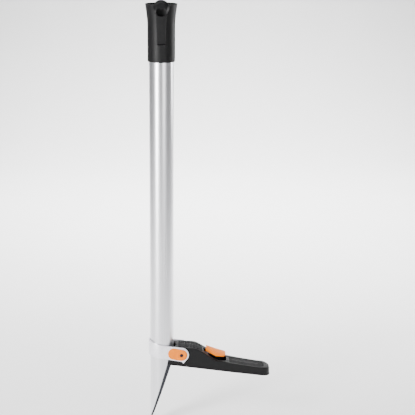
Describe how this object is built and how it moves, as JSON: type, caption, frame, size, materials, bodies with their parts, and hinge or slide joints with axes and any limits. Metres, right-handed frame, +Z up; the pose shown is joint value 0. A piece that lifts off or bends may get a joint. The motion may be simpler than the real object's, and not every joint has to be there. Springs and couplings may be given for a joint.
{
  "type": "bulb planter",
  "caption": "Long drop-through bulb planter: aluminium tube with a funnel grip and hanging eye, slanted tip closed by a hinged steel jaw, and a sprung foot pedal with a sliding lock.",
  "frame": {"origin": "on the tube's axis, at the height where the hanging eye bears on its hook", "axes": "+Z up the tube towards the funnel rim, +X from the tube towards the pedal's tail, -Y on the side of the hanging eye"},
  "size_m": [0.3173, 0.0858, 1.0728],
  "materials": {
    "anodised_aluminium": "satin anodised",
    "strap_steel": "silver powder coat",
    "black_nylon": "moulded, fine texture",
    "orange_nylon": "moulded, satin",
    "tread_rubber": "moulded, matte",
    "jaw_steel": "pressed, bare",
    "dark_steel": "black zinc",
    "bearing_nylon": "moulded, natural"
  },
  "bodies": {
    "tube_body": {"tube": "anodised_aluminium", "grip": "black_nylon", "hang_eye": "black_nylon", "grip_screw": "dark_steel", "collar_strap": "strap_steel", "strap_rivet_1": "strap_steel", "strap_rivet_2": "strap_steel", "pivot_pin": "dark_steel", "pivot_bolt": "dark_steel", "pivot_sleeve": "jaw_steel", "pivot_cover_near": "orange_nylon", "pivot_cover_far": "orange_nylon", "lock_quadrant": "dark_steel"},
    "pedal": {"pedal_shell": "black_nylon", "tread_pad": "tread_rubber", "tail_pad": "tread_rubber", "base_plate": "black_nylon", "base_screw_1": "dark_steel", "base_screw_2": "dark_steel", "base_screw_3": "dark_steel", "base_screw_4": "dark_steel", "base_screw_5": "dark_steel", "base_screw_6": "dark_steel", "jaw_plate": "jaw_steel", "jaw_lever": "jaw_steel", "jaw_rivet_1": "dark_steel", "jaw_rivet_2": "dark_steel", "jaw_rivet_3": "dark_steel", "jaw_rivet_4": "dark_steel", "bushing_near": "bearing_nylon", "bushing_far": "bearing_nylon", "return_spring": "jaw_steel", "lock_guide": "bearing_nylon", "lock_detent": "jaw_steel"},
    "lock": {"lock_button": "orange_nylon", "lock_bolt": "dark_steel", "lock_screw": "dark_steel"}
  },
  "joints": [
    {"name": "pedal_hinge", "type": "hinge", "parent": "tube_body", "child": "pedal", "pos_m": [0.05, 0, -0.876], "axis": [0, -1, 0], "range_deg": [0, 18], "stiffness_Nm_per_rad": 0.4, "springref_deg": -34.38},
    {"name": "lock_slide", "type": "slide", "parent": "pedal", "child": "lock", "axis": [-0.992, 0, 0.1261], "range_m": [0, 0.005]}
  ]
}
